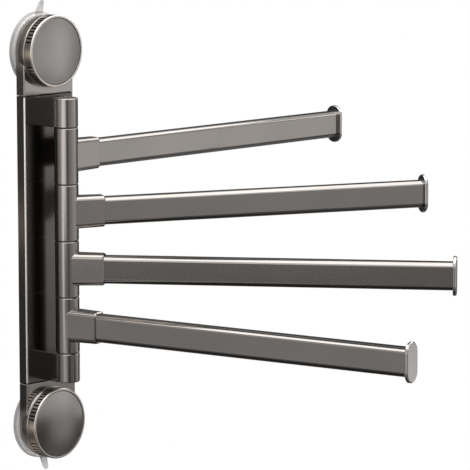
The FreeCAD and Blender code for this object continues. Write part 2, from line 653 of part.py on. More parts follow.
def insert_bar(flats, front, back):
    """The hexagon of the threaded insert, or of its pocket in the knob."""
    return hexagon(flats, front, back, Y_AXIS, ORIGIN)


def make_insert():
    """Threaded hexagonal insert in the knob's hub."""
    bar = insert_bar(INSERT_FLATS, INSERT_FRONT_Y, INSERT_BACK_Y)
    return bar.cut(spindle(STUD_RADIUS + CLOSE_FIT, INSERT_FRONT_Y, INSERT_BACK_Y))


def make_knob(clock):
    """Twist-lock knob: a round-edged cup with groups of flutes round its side, a seat for
    the face, and a ribbed hub behind it."""
    web_back = FACE_SEAT_Y + KNOB_WEB
    inside = KNOB_RADIUS - KNOB_WALL
    solid = turned_about_y([
        (0, KNOB_BACK_Y),
        (KNOB_HUB_RADIUS, KNOB_BACK_Y),
        (KNOB_HUB_RADIUS, web_back),
        (inside, web_back),
        (inside, KNOB_BACK_Y),
        (KNOB_RADIUS - KNOB_BACK_BEVEL, KNOB_BACK_Y),
        (KNOB_RADIUS, KNOB_BACK_Y - KNOB_BACK_BEVEL),
        (KNOB_RADIUS, KNOB_FRONT_Y),
        (FACE_SEAT_RADIUS, KNOB_FRONT_Y),
        (FACE_SEAT_RADIUS, FACE_SEAT_Y),
        (0, FACE_SEAT_Y),
    ])
    front_rim = edges_by_middle(solid, lambda p: near(p.y, KNOB_FRONT_Y) and near(abs(p.x), KNOB_RADIUS))
    solid = solid.makeFillet(KNOB_ROUND, front_rim)
    ribs = []
    for number in range(KNOB_RIB_COUNT):
        rib = block(KNOB_HUB_RADIUS - KNOB_WEB, inside + KNOB_WEB, web_back, KNOB_BACK_Y - KNOB_RIB_SINK,
                    -KNOB_RIB / 2, KNOB_RIB / 2)
        rib.rotate(ORIGIN, Y_AXIS, 360 / KNOB_RIB_COUNT * number)
        ribs.append(rib)
    solid = solid.fuse(ribs)

    flute = block(KNOB_RADIUS - FLUTE_DEPTH, KNOB_RADIUS + FLUTE_DEPTH, KNOB_FRONT_Y + FLUTE_FRONT,
                  KNOB_BACK_Y - FLUTE_BACK, -FLUTE_WIDTH / 2, FLUTE_WIDTH / 2)
    flutes = []
    for group in range(FLUTE_GROUPS):
        middle = 360 / FLUTE_GROUPS * (group + 0.5)
        for number in range(FLUTES_IN_GROUP):
            step = (number - (FLUTES_IN_GROUP - 1) / 2) * FLUTE_PITCH
            cut = flute.copy()
            cut.rotate(ORIGIN, Y_AXIS, middle + step - clock)
            flutes.append(cut)
    pocket = insert_bar(INSERT_FLATS + 2 * CLOSE_FIT, FACE_SEAT_Y, INSERT_BACK_Y)
    stud_way = spindle(STUD_NECK_RADIUS + THRUST_PLAY, INSERT_BACK_Y, KNOB_BACK_Y)
    return solid.cut(flutes + [pocket, stud_way])


def make_face():
    """Slightly domed cover in the front of the knob."""
    radius = FACE_SEAT_RADIUS - FACE_GROOVE
    crown_y = FACE_SEAT_Y - FACE_EDGE - FACE_CROWN
    disc = spindle(radius, crown_y, FACE_SEAT_Y)
    return disc.common(ball_through(radius, FACE_CROWN, crown_y))


def make_cup():
    """Suction cup with a pull tab. Its boss holds the stud's foot, and its hollow side
    lies on the wall along a ring at the lip."""
    neck = STUD_NECK_RADIUS + CUP_SOFT_GAP
    foot = STUD_FOOT_RADIUS + CUP_SOFT_GAP
    foot_front = -STUD_FOOT_PLACE - STUD_FOOT_THICKNESS - CUP_SOFT_GAP
    foot_back = -STUD_FOOT_PLACE + CUP_SOFT_GAP
    under_dish = RAIL_BACK_Y + CUP_SOFT_GAP
    solid = turned_about_y([
        (neck, foot_front),
        (neck, -CUP_BOSS_REACH),
        (CUP_BOSS_RADIUS - CUP_BOSS_BEVEL, -CUP_BOSS_REACH),
        (CUP_BOSS_RADIUS, -CUP_BOSS_REACH + CUP_BOSS_BEVEL),
        (CUP_BOSS_RADIUS + CUP_FLARE, -CUP_SHOULDER),
        (CUP_WELL_RADIUS, under_dish),
        (CUP_RADIUS - CUP_LIP / 2, -CUP_LIP),
        (CUP_RADIUS, -CUP_LIP / 2),
        (CUP_RADIUS, 0),
        (0, 0),
        (0, foot_back),
        (foot, foot_back),
        (foot, foot_front),
    ])
    hollow = ball_through(CUP_RADIUS - CUP_CONTACT, CUP_HOLLOW, -CUP_HOLLOW)
    solid = solid.cut(hollow)
    root_z = CUP_RADIUS - TAB_OVERLAP
    tip_z = CUP_RADIUS + TAB_LENGTH
    tip_round = TAB_TIP_WIDTH / 2
    y = -TAB_THICKNESS / 2
    right_root = FreeCAD.Vector(TAB_ROOT_WIDTH / 2, y, root_z)
    right_tip = FreeCAD.Vector(tip_round, y, tip_z - tip_round)
    tip = FreeCAD.Vector(0, y, tip_z)
    left_tip = FreeCAD.Vector(-tip_round, y, tip_z - tip_round)
    left_root = FreeCAD.Vector(-TAB_ROOT_WIDTH / 2, y, root_z)
    outline = Part.Wire([
        Part.LineSegment(right_root, right_tip).toShape(),
        Part.Arc(right_tip, tip, left_tip).toShape(),
        Part.LineSegment(left_tip, left_root).toShape(),
        Part.LineSegment(left_root, right_root).toShape(),
    ])
    tab = Part.Face(outline).extrude(Y_AXIS * TAB_THICKNESS)
    tab.rotate(FreeCAD.Vector(0, 0, root_z), X_AXIS, TAB_LIFT)
    tab.translate(FreeCAD.Vector(0, -CUP_LIP, 0))
    return solid.fuse(tab)


# ---- the rack ----------------------------------------------------------------------------
def make_rack():
    """Every piece under the name of its file."""
    pieces = {
        "back_rail": make_rail(),
        "ear_screws": make_ear_screws(),
        "tongue_screws": make_tongue_screws(),
        "pivot_rod": make_pivot_rod(),
        "pivot_nut": make_pivot_nut(),
    }
    for number in range(1, ARM_COUNT + 2):
        pieces[f"friction_washer_{number}"] = make_friction_washer(number)

    for number in range(1, ARM_COUNT + 1):
        pieces[f"swivel_hub_{number}"] = on_arm(make_hub(), number)
        pieces[f"swivel_bush_{number}"] = on_arm(make_bush(), number)
        pieces[f"arm_tube_{number}"] = on_arm(make_tube(), number)
        pieces[f"tube_screw_{number}"] = on_arm(make_tube_screw(), number)
        pieces[f"end_cap_{number}"] = on_arm(make_end_cap(), number)

    for name, side, clock in (("upper", 1, UPPER_KNOB_CLOCK), ("lower", -1, LOWER_KNOB_CLOCK)):
        pieces[f"{name}_ear"] = make_ear(side)
        pieces[f"{name}_ear_plug"] = make_ear_plug(side)
        pieces[f"{name}_housing"] = at_end(make_housing(), side)
        pieces[f"{name}_thrust_washer"] = at_end(make_thrust_washer(), side)
        pieces[f"{name}_stud"] = at_end(make_stud(), side)
        pieces[f"{name}_suction_cup"] = at_end(make_cup(), side)
        pieces[f"{name}_knob"] = at_end(make_knob(clock), side)
        pieces[f"{name}_knob_insert"] = at_end(make_insert(), side)
        pieces[f"{name}_knob_face"] = at_end(make_face(), side)
    return pieces


def write_pieces(pieces):
    """One STEP file for each piece."""
    os.makedirs("parts", exist_ok=True)
    for name, shape in pieces.items():
        if shape.isNull() or not shape.isValid():
            raise ValueError(f"{name} is not a valid shape")
        shape.exportStep(f"parts/{name}.step")


write_pieces(make_rack())
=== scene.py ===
import json
import math

import bmesh
import bpy
from mathutils import Matrix, Vector

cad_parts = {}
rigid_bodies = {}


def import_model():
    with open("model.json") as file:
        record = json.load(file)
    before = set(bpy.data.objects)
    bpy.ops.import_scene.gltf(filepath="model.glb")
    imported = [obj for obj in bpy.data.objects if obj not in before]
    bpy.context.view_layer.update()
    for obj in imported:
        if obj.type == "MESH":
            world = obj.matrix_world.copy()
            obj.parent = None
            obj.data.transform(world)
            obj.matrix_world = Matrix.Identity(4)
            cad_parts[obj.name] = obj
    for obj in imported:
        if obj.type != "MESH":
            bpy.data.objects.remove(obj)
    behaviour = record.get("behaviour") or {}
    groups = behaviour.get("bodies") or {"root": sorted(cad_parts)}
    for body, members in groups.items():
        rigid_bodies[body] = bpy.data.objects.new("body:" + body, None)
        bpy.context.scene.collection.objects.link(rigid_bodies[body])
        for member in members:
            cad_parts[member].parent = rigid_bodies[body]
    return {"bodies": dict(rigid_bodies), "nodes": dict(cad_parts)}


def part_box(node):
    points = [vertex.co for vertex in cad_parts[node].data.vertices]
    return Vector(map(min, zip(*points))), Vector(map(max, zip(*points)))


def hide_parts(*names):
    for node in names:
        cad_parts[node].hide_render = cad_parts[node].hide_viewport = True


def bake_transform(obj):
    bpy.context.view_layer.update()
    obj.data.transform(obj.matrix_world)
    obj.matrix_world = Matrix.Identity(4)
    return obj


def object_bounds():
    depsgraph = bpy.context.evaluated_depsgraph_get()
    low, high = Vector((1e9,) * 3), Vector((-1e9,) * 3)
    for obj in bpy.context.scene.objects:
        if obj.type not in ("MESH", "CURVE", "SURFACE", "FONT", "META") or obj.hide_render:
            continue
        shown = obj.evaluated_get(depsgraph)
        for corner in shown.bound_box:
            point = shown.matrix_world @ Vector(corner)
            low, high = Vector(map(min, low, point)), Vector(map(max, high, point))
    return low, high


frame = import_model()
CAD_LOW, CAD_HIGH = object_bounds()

bl_info = {
    "name": "Swing arm towel rack",
    "version": (1, 0, 0),
    "blender": (4, 5, 0),
    "location": "3D View > Sidebar > Towel Rack",
    "description": "Plated finishes, clear suction cups and a studio for a four-arm towel rack",
    "category": "Object",
}

# The wall is the plane Y = 0, the rack stands in front of it towards -Y, and Z runs up.
ENDS = ("upper", "lower")
ARMS = tuple(range(1, sum(body.startswith("arm_") for body in frame["bodies"]) + 1))
MM = 0.001
WHITE = (1.0, 1.0, 1.0)
# Tint of the small cards that light the knobs' sides.
WARM = (1.0, 0.86, 0.74)


# ---- what a user would change ------------------------------------------------------------
def colour_property(name, description, default):
    """A linear colour without alpha."""
    return bpy.props.FloatVectorProperty(
        name=name, description=description, default=default,
        size=3, min=0.0, max=1.0, subtype="COLOR",
    )


def length_property(name, description, millimetres, low=0.0, high=1000.0):
    """A length, given here in millimetres and kept in metres."""
    return bpy.props.FloatProperty(
        name=name, description=description, default=millimetres * MM,
        min=low * MM, max=high * MM, subtype="DISTANCE", unit="LENGTH",
    )


def share_property(name, description, default):
    """A number from 0 to 1 without a unit."""
    return bpy.props.FloatProperty(
        name=name, description=description, default=default, min=0.0, max=1.0, subtype="FACTOR",
    )


class RackFinish(bpy.types.PropertyGroup):
    """Colours and gloss of the rack's surfaces."""

    rail_colour: colour_property("Rail", "Dark anodising of the wall rail", (0.115, 0.107, 0.102))
    cast_colour: colour_property("Hubs and ears", "Plating on hubs and ears", (0.30, 0.275, 0.26))
    tube_colour: colour_property("Arm tubes", "Anodising on the arm tubes", (0.295, 0.275, 0.26))
    cap_colour: colour_property("End caps", "Plating on the end caps", (0.47, 0.45, 0.435))
    moulded_colour: colour_property("Housings and knobs", "Plating on plastic", (0.32, 0.295, 0.275))
    face_colour: colour_property("Knob faces", "Satin covers in the knobs", (0.33, 0.31, 0.295))
    steel_colour: colour_property("Steel", "Zinc plating on rod, nut and screws", (0.56, 0.56, 0.54))
    nylon_colour: colour_property("Nylon", "Washers and bushes", (0.035, 0.035, 0.036))
    brass_colour: colour_property("Brass", "Threaded inserts in the knobs", (0.64, 0.46, 0.19))
    cup_colour: colour_property("Suction cups", "Clear, slightly milky plastic", (0.72, 0.705, 0.70))
    rail_roughness: share_property("Roughness of the rail", "Roughness of the rail's anodising", 0.20)
    cast_roughness: share_property("Roughness of hubs and ears", "Roughness of their plating", 0.13)
    steel_roughness: share_property("Roughness of the steel", "Roughness of the zinc plating", 0.3)
    brass_roughness: share_property("Roughness of the brass", "Roughness of the inserts", 0.28)
    tube_roughness: share_property("Roughness of the tubes", "Roughness of the tubes' anodising", 0.09)
    tube_flat: length_property("Flat of the tubes", "Height of the tubes' side that stays flat", 17.0)
    face_roughness: share_property("Roughness of the faces", "Roughness of the knobs' covers", 0.20)
    satin_reach: length_property("Reach of the satin", "Radius of the satin zone on a dish", 32.6)
    gloss: share_property("Roughness of the polish", "Roughness of the polished plating", 0.15)
    satin: share_property("Roughness of the satin", "Roughness of the knobs' satin plating", 0.32)


class CupSizes(bpy.types.PropertyGroup):
    """Form of the two suction cups."""

    lip: length_property("Lip", "Thickness of the cup's edge", 2.5)
    hollow: length_property("Hollow", "Depth of the cup's hollow behind the stud", 2.4)
    contact: length_property("Contact", "Width of the ring that lies on the wall", 3.5)
    boss_radius: length_property("Boss", "Radius of the boss round the stud", 11.0)
    shoulder: length_property("Shoulder", "Wall to where the skirt leaves the boss", 6.6)
    bead_inset: length_property("Bead inset", "Cup's edge to the middle of its raised bead", 2.6)
    bead_width: length_property("Bead width", "Half the width of the raised bead", 1.2)
    tab_root: length_property("Tab root", "Width of the pull tab at the lip", 9.5)
    tab_tip: length_property("Tab tip", "Width of the pull tab near its end", 6.0)
    tab_thickness: length_property("Tab thickness", "Thickness of the pull tab", 1.4)
    tab_lean: bpy.props.FloatProperty(
        name="Tab lean", description="How far the pull tab leans off the wall",
        default=math.radians(18.0), min=0.0, max=math.radians(60.0), subtype="ANGLE", unit="ROTATION",
    )


class StudioSettings(bpy.types.PropertyGroup):
    """Camera, lights and floor."""

    azimuth: bpy.props.FloatProperty(
        name="Azimuth", description="Camera's turn round the rack; 0 looks at the wall",
        default=math.radians(-47.79), subtype="ANGLE", unit="ROTATION",
    )
    elevation: bpy.props.FloatProperty(
        name="Elevation", description="Camera's height above the horizon",
        default=math.radians(8.787), subtype="ANGLE", unit="ROTATION",
    )
    distance: length_property("Distance", "Camera to the middle of the view", 2850.0, 200.0, 20000.0)
    focal_ratio: bpy.props.FloatProperty(
        name="Focal ratio", description="Focal length as a multiple of the picture's width",
        default=3093.0 / 470.0, min=0.5, max=30.0,
    )
    aim_right: length_property("Aim right", "Origin to the middle of the view", 180.8, -500.0, 500.0)
    aim_up: length_property("Aim up", "Rail's middle up to the middle of the view", 1.1, -500.0, 500.0)
    floor_drop: length_property("Floor drop", "Lowest point down to the floor", 350.0, 0.0, 2000.0)
    floor_colour: colour_property("Floor", "Pale floor", (0.86, 0.86, 0.86))


# ---- materials ---------------------------------------------------------------------------
# Where most values of a noise lie.
NOISE_LOW, NOISE_HIGH = 0.3, 0.7
NO_STRETCH = (1.0, 1.0, 1.0)
# How far the fine lines are drawn out along an extrusion, and how deep a grain is.
LINE_STRETCH = 60.0
GRAIN_DEPTH = 0.00001
# Width over which the satin zone on a housing fades out.
SATIN_BORDER = 4.0 * MM
# How far a tube's side seems to fall back towards its rounded corners.
CROWN_DEPTH = 0.0013
# How deep in a knob's flute the painted shade starts and is full, and the same behind the knob's front.
FLUTE_SHADE_DEPTHS = (0.25 * MM, 0.55 * MM)
FLUTE_SHADE_START = (0.9 * MM, 1.2 * MM)
# Behind a knob's front: where its painted highlight on the rim has gone, and where it is full.
RIM_HIGHLIGHT_END = (1.0 * MM, 0.7 * MM)
# In from the rail's faces: where its painted light on the sides, painted highlight along the front
# edges and painted shade at the seams start and are full.
RAIL_LIT_SIDE = (0.3 * MM, 0.1 * MM)
RAIL_EDGE_HIGHLIGHT = (1.4 * MM, 1.1 * MM)
RAIL_SEAM_SHADE = (0.8 * MM, 0.6 * MM)
# Painted light and shade on a suction cup's plastic from its middle outward, lighter in the middle,
# darker across the lip and lighter in the pull tab: (share of its diameter, share of its colour).
CUP_LIGHT_STOPS = (
    (0.0, 1.3), (0.447, 1.3), (0.455, 1.12), (0.480, 1.05), (0.490, 0.75), (0.500, 0.70), (0.512, 1.45),
)


def new_material(name, metallic=0.0):
    """An empty node material with its shader: (material, tree, shader)."""
    material = bpy.data.materials.new(name)
    material.use_nodes = True
    tree = material.node_tree
    tree.nodes.clear()
    output = tree.nodes.new("ShaderNodeOutputMaterial")
    shader = tree.nodes.new("ShaderNodeBsdfPrincipled")
    shader.inputs["Metallic"].default_value = metallic
    tree.links.new(shader.outputs["BSDF"], output.inputs["Surface"])
    return material, tree, shader


def connect(tree, shader, colour, roughness, normal):
    """Give a shader its colour, its roughness and its normal."""
    tree.links.new(colour, shader.inputs["Base Color"])
    tree.links.new(roughness, shader.inputs["Roughness"])
    tree.links.new(normal, shader.inputs["Normal"])


def object_place(tree):
    """A point's place in the object's own coordinates."""
    return tree.nodes.new("ShaderNodeTexCoord").outputs["Object"]


def mapped(tree, kind="POINT", **values):
    """The object's own coordinates after a mapping by location, rotation or scale."""
    mapping = tree.nodes.new("ShaderNodeMapping")
    mapping.vector_type = kind
    for name, value in values.items():
        mapping.inputs[name.title()].default_value = value
    tree.links.new(object_place(tree), mapping.inputs["Vector"])
    return mapping.outputs["Vector"]


def grain_coordinates(tree, yaw=0.0, stretch=NO_STRETCH):
    """Coordinates with X along a piece that points at yaw, drawn out by stretch on each axis."""
    return mapped(tree, "TEXTURE", rotation=(0.0, 0.0, yaw), scale=stretch)


def split(tree, vector):
    """A vector's X, Y and Z."""
    axes = tree.nodes.new("ShaderNodeSeparateXYZ")
    tree.links.new(vector, axes.inputs["Vector"])
    return [axes.outputs[axis] for axis in "XYZ"]


def arithmetic(tree, operation, *values):
    """A number worked out from others, which may be plain."""
    node = tree.nodes.new("ShaderNodeMath")
    node.operation = operation
    for value, socket in zip(values, node.inputs):
        if isinstance(value, float):
            socket.default_value = value
        else:
            tree.links.new(value, socket)
    return node.outputs["Value"]


def vector_maths(tree, operation, *vectors):
    """A vector worked out from others; a length or a dot product comes back as a number."""
    node = tree.nodes.new("ShaderNodeVectorMath")
    node.operation = operation
    for vector, socket in zip(vectors, node.inputs):
        tree.links.new(vector, socket)
    return node.outputs["Value" if operation in ("LENGTH", "DOT_PRODUCT") else "Vector"]


def ranged(tree, value, start, end, low=0.0, high=1.0, soft=False):
    """A number that runs from low to high as a value goes from start to end, and stops there."""
    node = tree.nodes.new("ShaderNodeMapRange")
    if soft:
        node.interpolation_type = "SMOOTHSTEP"
    node.inputs["From Min"].default_value = start
    node.inputs["From Max"].default_value = end
    node.inputs["To Min"].default_value = low
    node.inputs["To Max"].default_value = high
    tree.links.new(value, node.inputs["Value"])
    return node.outputs["Result"]


def between(tree, value, zero, one):
    """A share that rises softly from 0 to 1 as a value goes from zero to one."""
    return ranged(tree, value, zero, one, soft=True)


def ramped(tree, factor, stops):
    """A colour that follows (position, colour) stops."""
    ramp = tree.nodes.new("ShaderNodeValToRGB")
    elements = ramp.color_ramp.elements
    for index, (position, colour) in enumerate(stops):
        element = elements[index] if index < 2 else elements.new(position)
        element.position = position
        element.color = (*colour, 1.0)
    tree.links.new(factor, ramp.inputs["Fac"])
    return ramp.outputs["Color"]


def blended(tree, share, colour, other):
    """A colour that turns into another, plain one as a share goes from 0 to 1."""
    mix = tree.nodes.new("ShaderNodeMix")
    mix.data_type = "RGBA"
    mix.inputs[7].default_value = (*other, 1.0)
    tree.links.new(share, mix.inputs[0])
    tree.links.new(colour, mix.inputs[6])
    return mix.outputs[2]


def shaded(colour, share):
    """A colour made darker (under 1) or lighter (over 1)."""
    return tuple(min(1.0, channel * share) for channel in colour)


def noise(tree, vector, scale, detail, roughness=0.5):
    """A noise texture's factor."""
    node = tree.nodes.new("ShaderNodeTexNoise")
    node.inputs["Scale"].default_value = scale
    node.inputs["Detail"].default_value = detail
    node.inputs["Roughness"].default_value = roughness
    tree.links.new(vector, node.inputs["Vector"])
    return node.outputs["Fac"]


def shades(tree, factor, dark, light):
    """A colour that runs from dark to light as a noise does."""
    return ramped(tree, factor, ((NOISE_LOW, dark), (NOISE_HIGH, light)))


def spread(tree, factor, low, high):
    """A number that runs from low to high as a noise does."""
    return ranged(tree, factor, NOISE_LOW, NOISE_HIGH, low, high)


def bumped(tree, height, strength, depth, normal=None):
    """A normal tilted by a height, as deep as given in metres, on top of another normal."""
    bump = tree.nodes.new("ShaderNodeBump")
    bump.inputs["Strength"].default_value = strength
    bump.inputs["Distance"].default_value = depth
    tree.links.new(height, bump.inputs["Height"])
    if normal is not None:
        tree.links.new(normal, bump.inputs["Normal"])
    return bump.outputs["Normal"]


def soft_edges(tree, radius, samples=8):
    """Edges rounded in the shading: (normal, how near an edge is, from 0 to 1)."""
    bevel = tree.nodes.new("ShaderNodeBevel")
    bevel.samples = samples
    bevel.inputs["Radius"].default_value = radius
    surface = tree.nodes.new("ShaderNodeNewGeometry")
    agree = vector_maths(tree, "DOT_PRODUCT", bevel.outputs["Normal"], surface.outputs["Normal"])
    return bevel.outputs["Normal"], ranged(tree, agree, 0.995, 0.80)


def clouds_and_edge_highlight(tree, colour, clouds, edge, highlight_strength, lightest=1.05):
    """A colour in faint clouds, with a painted highlight along the edges that is stronger in some
    patches.
    """
    even = shades(tree, clouds, shaded(colour, 0.95), shaded(colour, lightest))
    # Painted highlight: the colour is made lighter near edges, where rounded edges catch the light.
    highlight_share = arithmetic(tree, "MULTIPLY", edge, spread(tree, clouds, 0.25, 0.9))
    return blended(tree, highlight_share, even, shaded(colour, highlight_strength))


def axis_distance(tree, centre_z):
    """How far a point is from a line along Y at a height."""
    flat = mapped(tree, location=(0.0, 0.0, -centre_z), scale=(1.0, 0.0, 1.0))
    return vector_maths(tree, "LENGTH", flat)


def plated(name, colour, roughness, rounding=0.0004, highlight_strength=1.6, satin=None, samples=8):
    """Metal plating: faint clouds, uneven gloss, a fine grain, and a painted highlight along the edges.

    satin is (centre height, radius, added roughness) of a round zone with a duller finish."""
    material, tree, shader = new_material(name, metallic=1.0)
    vector = grain_coordinates(tree)
    clouds = noise(tree, vector, scale=18.0, detail=3.0)
    fine = noise(tree, vector, scale=900.0, detail=4.0, roughness=0.6)
    normal, edge = soft_edges(tree, rounding, samples)
    tinted = clouds_and_edge_highlight(tree, colour, clouds, edge, highlight_strength)
    gloss = spread(tree, fine, roughness * 0.85, roughness * 1.2)
    if satin is not None:
        centre_z, radius, added = satin
        zone = between(tree, axis_distance(tree, centre_z), radius + SATIN_BORDER, radius)
        gloss = arithmetic(tree, "MULTIPLY_ADD", zone, added, gloss)
    connect(tree, shader, tinted, gloss, bumped(tree, fine, 0.12, GRAIN_DEPTH, normal))
    return material


def knob_plated(name, colour, roughness, centre_z, radius, front_y):
    """A knob's plating, with painted shade in the flutes round its side and a painted highlight on the
    rim round its face.
    """
    # A strong painted highlight along the knob's edges.
    material = plated(name, colour, roughness, rounding=0.00012, highlight_strength=2.2)
    tree = material.node_tree
    shader = next(node for node in tree.nodes if node.type == "BSDF_PRINCIPLED")
    tinted = shader.inputs["Base Color"].links[0].from_socket
    depth = split(tree, object_place(tree))[1]
    flute_shade = arithmetic(
        tree, "MULTIPLY",
        between(tree, axis_distance(tree, centre_z), *(radius - inward for inward in FLUTE_SHADE_DEPTHS)),
        between(tree, depth, *(front_y + behind for behind in FLUTE_SHADE_START)),
    )
    rim = between(tree, depth, *(front_y + behind for behind in RIM_HIGHLIGHT_END))
    # Painted shade in the flutes, then a painted highlight on the rim.
    tinted = blended(tree, flute_shade, tinted, shaded(colour, 0.06))
    tinted = blended(tree, rim, tinted, shaded(colour, 2.1))
    tree.links.new(tinted, shader.inputs["Base Color"])
    return material


def crowned(tree, normal, middle_z, flat_half, half_height):
    """A normal that starts to turn a little before a tube's rounded corners, above and below."""
    height = split(tree, object_place(tree))[2]
    away = arithmetic(tree, "ABSOLUTE", arithmetic(tree, "SUBTRACT", height, middle_z))
    fall = ranged(tree, away, flat_half, half_height, 1.0, 0.0, soft=True)
    return bumped(tree, fall, 1.0, CROWN_DEPTH, normal)


def rail_painted_light_and_shade(tree, tinted, colour, half_width, front_y, half_length):
    """The rail's colour, with painted light on its sides, a painted highlight along its front edges,
    and painted shade at the seams.
    """
    outward, forward, upward = split(tree, vector_maths(tree, "ABSOLUTE", object_place(tree)))
    side = between(tree, outward, *(half_width - inward for inward in RAIL_LIT_SIDE))
    edge = arithmetic(
        tree, "MULTIPLY",
        between(tree, outward, *(half_width - inward for inward in RAIL_EDGE_HIGHLIGHT)),
        between(tree, forward, *(-front_y - inward for inward in RAIL_EDGE_HIGHLIGHT)),
    )
    seam_shade = between(tree, upward, *(half_length - inward for inward in RAIL_SEAM_SHADE))
    # Painted light on the sides, a bright painted highlight along the front edges, painted shade at the
    # seams.
    tinted = blended(tree, side, tinted, shaded(colour, 2.0))
    tinted = blended(tree, edge, tinted, shaded(colour, 8.0))
    return blended(tree, seam_shade, tinted, shaded(colour, 0.1))


def brushed(name, colour, roughness, yaw, stretch, rounding=0.0006, highlight_strength=1.4, tube=None, rail=None):
    """Anodised aluminium with fine lines along the extrusion and a painted highlight along the edges.

    tube is a tube's (middle height, half its flat side, half its height), and rail is the rail's
    (half width, front, half length)."""
    material, tree, shader = new_material(name, metallic=1.0)
    lines = noise(tree, grain_coordinates(tree, yaw, stretch), scale=700.0, detail=5.0, roughness=0.65)
    clouds = noise(tree, grain_coordinates(tree, yaw), scale=14.0, detail=2.0)
    normal, edge = soft_edges(tree, rounding)
    if tube is not None:
        normal = crowned(tree, normal, *tube)
    tinted = clouds_and_edge_highlight(tree, colour, clouds, edge, highlight_strength)
    if rail is not None:
        tinted = rail_painted_light_and_shade(tree, tinted, colour, *rail)
    gloss = spread(tree, lines, roughness * 0.9, roughness * 1.12)
    connect(tree, shader, tinted, gloss, bumped(tree, lines, 0.06, GRAIN_DEPTH, normal))
    return material


def turned_satin(name, colour, roughness, centre_z):
    """A knob's face: rings left by the turning tool under the plating."""
    material, tree, shader = new_material(name, metallic=1.0)
    vector = mapped(tree, location=(0.0, 0.0, -centre_z))
    wave = tree.nodes.new("ShaderNodeTexWave")
    wave.wave_type = "RINGS"
    wave.rings_direction = "Y"
    wave.inputs["Scale"].default_value = 420.0
    wave.inputs["Distortion"].default_value = 1.5
    wave.inputs["Detail"].default_value = 3.0
    tree.links.new(vector, wave.inputs["Vector"])
    rings = wave.outputs["Fac"]
    clouds = noise(tree, vector, scale=30.0, detail=3.0)
    normal, edge = soft_edges(tree, 0.0004)
    # A painted highlight along the face's edges.
    tinted = clouds_and_edge_highlight(tree, colour, clouds, edge, highlight_strength=1.5, lightest=1.04)
    gloss = spread(tree, rings, roughness * 0.9, roughness * 1.1)
    connect(tree, shader, tinted, gloss, bumped(tree, rings, 0.04, GRAIN_DEPTH, normal))
    return material


def nylon(name, colour):
    """Dark moulded nylon with a fine skin."""
    material, tree, shader = new_material(name)
    skin = noise(tree, grain_coordinates(tree), scale=1500.0, detail=3.0)
    tinted = shades(tree, skin, shaded(colour, 0.8), shaded(colour, 1.25))
    connect(tree, shader, tinted, spread(tree, skin, 0.42, 0.6), bumped(tree, skin, 0.3, 0.00003))
    return material


def clear_soft_plastic(name, colour, centre_z, radius):
    """Clear suction-cup plastic: hazy, with painted light in the middle and in the pull tab and painted
    shade across the lip, and clearer in the pull tab.
    """
    material, tree, shader = new_material(name)
    shader.inputs["IOR"].default_value = 1.45
    reach = axis_distance(tree, centre_z)
    across = ranged(tree, reach, 0.0, radius * 2.0)
    # Painted light and shade across the cup, from the middle outward.
    thick = ramped(tree, across, [(position, shaded(colour, share)) for position, share in CUP_LIGHT_STOPS])
    vector = grain_coordinates(tree)
    haze = noise(tree, vector, scale=60.0, detail=4.0)
    flow = noise(tree, vector, scale=90.0, detail=2.0)
    milky = vector_maths(tree, "MULTIPLY", thick, shades(tree, haze, (0.93, 0.93, 0.93), WHITE))
    clear = ranged(tree, reach, radius, radius * 1.06, 0.12, 0.25)
    tree.links.new(clear, shader.inputs["Transmission Weight"])
    connect(tree, shader, milky, spread(tree, haze, 0.18, 0.3), bumped(tree, flow, 0.08, 0.00005))
    return material


def paint(node, material):
    """Give a piece that came with the frame one material all over."""
    data = frame["nodes"][node].data
    data.materials.clear()
    data.materials.append(material)


# ---- mesh helpers ------------------------------------------------------------------------
def new_piece(name, mesh, material):
    """Put a finished bmesh into the scene as a piece of one material."""
    data = bpy.data.meshes.new(name)
    mesh.normal_update()
    mesh.to_mesh(data)
    mesh.free()
    data.materials.append(material)
    piece = bpy.data.objects.new(name, data)
    bpy.context.scene.collection.objects.link(piece)
    return piece


def shade_by_angle(piece, degrees):
    """Smooth shading, with edges sharper than an angle kept crisp."""
    limit = math.radians(degrees)
    data = piece.data
    data.polygons.foreach_set("use_smooth", [True] * len(data.polygons))
    mesh = bmesh.new()
    mesh.from_mesh(data)
    for edge in mesh.edges:
        if len(edge.link_faces) == 2:
            edge.smooth = edge.calc_face_angle(0.0) < limit
    mesh.to_mesh(data)
    mesh.free()


def rounded_profile(corners, steps=6):
    """Round the corners of an open profile. Each corner is (radius, y, rounding)."""
    points = []
    last = len(corners) - 1
    for index, (radius, y, rounding) in enumerate(corners):
        here = Vector((radius, y))
        if index in (0, last) or rounding <= 0.0:
            points.append(here)
            continue
        before = Vector(corners[index - 1][:2]) - here
        after = Vector(corners[index + 1][:2]) - here
        reach = min(rounding, before.length * 0.5, after.length * 0.5)
        start = here + before.normalized() * reach
        end = here + after.normalized() * reach
        for step in range(steps + 1):
            share = step / steps
            points.append(start.lerp(here, share).lerp(here.lerp(end, share), share))
    return points


def lathe(profile, turns=96):
    """Turn a closed profile of (radius, y) points about the Y axis."""
    mesh = bmesh.new()
    rings = []
    for radius, y in profile:
        if radius < 1e-7:
            rings.append([mesh.verts.new((0.0, y, 0.0))])
            continue
        ring = []
        for step in range(turns):
            angle = 2.0 * math.pi * step / turns
            ring.append(mesh.verts.new((radius * math.cos(angle), y, radius * math.sin(angle))))
        rings.append(ring)
    for here, after in zip(rings, rings[1:] + rings[:1]):
        for step in range(turns):
            follow = (step + 1) % turns
            corners = []
            for vert in (here[step % len(here)], here[follow % len(here)],
                         after[follow % len(after)], after[step % len(after)]):
                if vert not in corners:
                    corners.append(vert)
            if len(corners) > 2:
                mesh.faces.new(corners)
    bmesh.ops.recalc_face_normals(mesh, faces=mesh.faces)
    return mesh


# ---- suction cups ------------------------------------------------------------------------
# From the wall to the cup's skirt under the housing's dish, and the dish's well as a share of the cup.
UNDER_DISH = 0.0043
WELL_SHARE = 0.817
